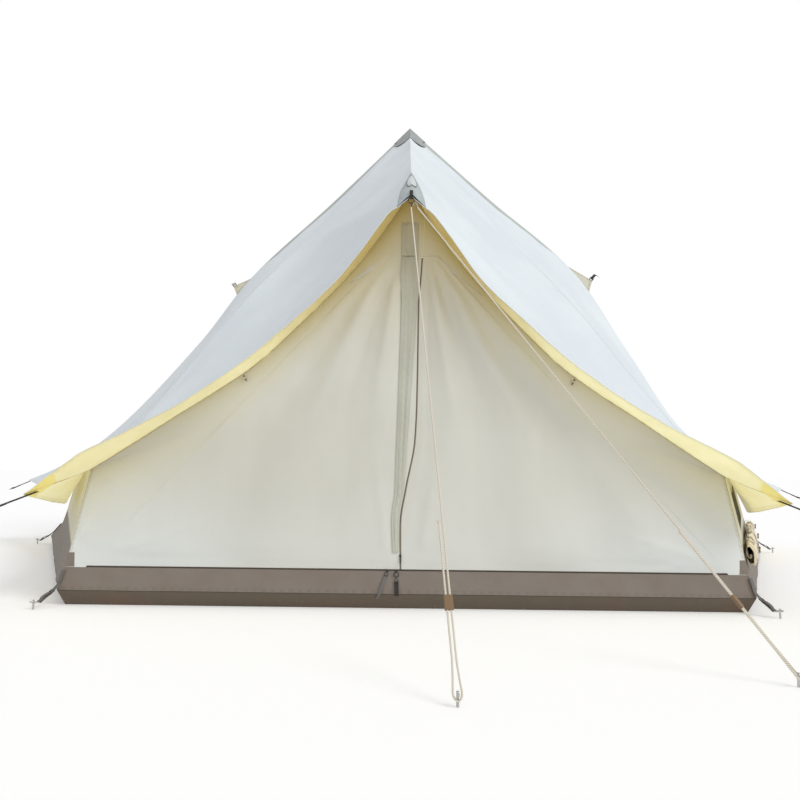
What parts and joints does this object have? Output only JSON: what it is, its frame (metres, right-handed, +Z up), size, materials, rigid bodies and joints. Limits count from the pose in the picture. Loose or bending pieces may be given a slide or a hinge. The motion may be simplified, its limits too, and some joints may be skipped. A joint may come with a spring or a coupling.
{
  "type": "pyramid tent",
  "caption": "Canvas pyramid tent on a six-sided floor with a front awning, slanted zip doors, mud walls and guy ropes.",
  "frame": {"origin": "centre of the floor on the ground, under the peak", "axes": "+Z up, -Y towards the front with the door, +X to the right seen from the front"},
  "size_m": [5.8836, 5.7819, 3.222],
  "materials": {
    "roof": "pale blue-grey coated canvas",
    "wall": "cream canvas",
    "mud": "dark brown coated cloth",
    "floor": "coated groundsheet cloth",
    "cap": "grey reinforcement cloth",
    "webbing": "black-brown webbing",
    "steel": "plated steel",
    "pole": "bare aluminium tube",
    "plastic": "matt black plastic",
    "rope": "cream braided cord",
    "mesh": "dark insect netting"
  },
  "bodies": {
    "tent": {"centre_pole_lower": "pole", "centre_pole_upper": "pole", "corner_peg_front_left": "webbing", "corner_peg_front_right": "webbing", "corner_peg_left": "webbing", "corner_peg_rear_left": "webbing", "corner_peg_rear_right": "webbing", "corner_peg_right": "webbing", "eave_guy_left": "rope", "eave_guy_right": "rope", "eave_strap_front_left": "webbing", "eave_strap_front_right": "webbing", "eave_strap_left": "webbing", "eave_strap_rear_left": "webbing", "eave_strap_rear_right": "webbing", "eave_strap_right": "webbing", "front_pole": "pole", "front_wall_left": "wall", "front_wall_right": "wall", "groundsheet": "floor", "guy_peg_left": "steel", "guy_peg_right": "steel", "mud_wall_front": "mud", "mud_wall_front_left": "mud", "mud_wall_front_right": "mud", "mud_wall_rear": "mud", "mud_wall_rear_left": "mud", "mud_wall_rear_right": "mud", "peak_cap": "cap", "pullout_tab_left": "roof", "pullout_tab_right": "roof", "rear_wall": "wall", "roof_front_left": "roof", "roof_front_right": "roof", "roof_rear": "roof", "roof_side_left_front": "roof", "roof_side_left_rear": "roof", "roof_side_right_front": "roof", "roof_side_right_rear": "roof", "rope_left": "rope", "rope_peg_left": "steel", "rope_peg_right": "steel", "rope_right": "rope", "side_wall_front_left": "wall", "side_wall_front_right": "wall", "side_wall_rear_left": "wall", "side_wall_rear_right": "wall", "tip_boot": "cap", "tip_ring": "plastic", "window_flap": "wall", "window_mesh": "mesh"},
    "door_left": {"door_left": "wall", "storm_flap": "wall"},
    "door_right": {"door_right": "wall"},
    "zip_slider_vertical": {"zip_slider_vertical": "steel"},
    "zip_pull_vertical": {"zip_pull_vertical": "steel"},
    "zip_slider_left": {"zip_slider_left": "steel"},
    "zip_slider_right": {"zip_slider_right": "steel"},
    "runner_left": {"runner_left": "plastic"},
    "runner_right": {"runner_right": "plastic"}
  },
  "joints": [
    {"name": "door_left_hinge", "type": "hinge", "parent": "tent", "child": "door_left", "pos_m": [-1.4, -2.1336, 0.16], "axis": [-0.6744, 0, -0.7384], "range_deg": [0, 95]},
    {"name": "door_right_hinge", "type": "hinge", "parent": "tent", "child": "door_right", "pos_m": [1.4, -2.1336, 0.16], "axis": [-0.6744, 0, 0.7384], "range_deg": [0, 60]},
    {"name": "zip_vertical_slide", "type": "slide", "parent": "door_left", "child": "zip_slider_vertical", "axis": [0.0615, 0, 0.9981], "range_m": [0, 1.11]},
    {"name": "zip_pull_swing", "type": "hinge", "parent": "zip_slider_vertical", "child": "zip_pull_vertical", "pos_m": [-0.02982, -2.1402, 0.2215], "axis": [-1, 0, 0], "range_deg": [0, 100]},
    {"name": "zip_left_slide", "type": "slide", "parent": "tent", "child": "zip_slider_left", "axis": [-1, 0, 0], "range_m": [0, 1.3]},
    {"name": "zip_right_slide", "type": "slide", "parent": "tent", "child": "zip_slider_right", "axis": [1, 0, 0], "range_m": [0, 1.38]},
    {"name": "runner_left_slide", "type": "slide", "parent": "tent", "child": "runner_left", "axis": [-0.0669, 0.5248, 0.8486], "range_m": [-0.1, 0.2]},
    {"name": "runner_right_slide", "type": "slide", "parent": "tent", "child": "runner_right", "axis": [-0.5024, 0.3857, 0.7739], "range_m": [-0.1, 0.2]}
  ]
}
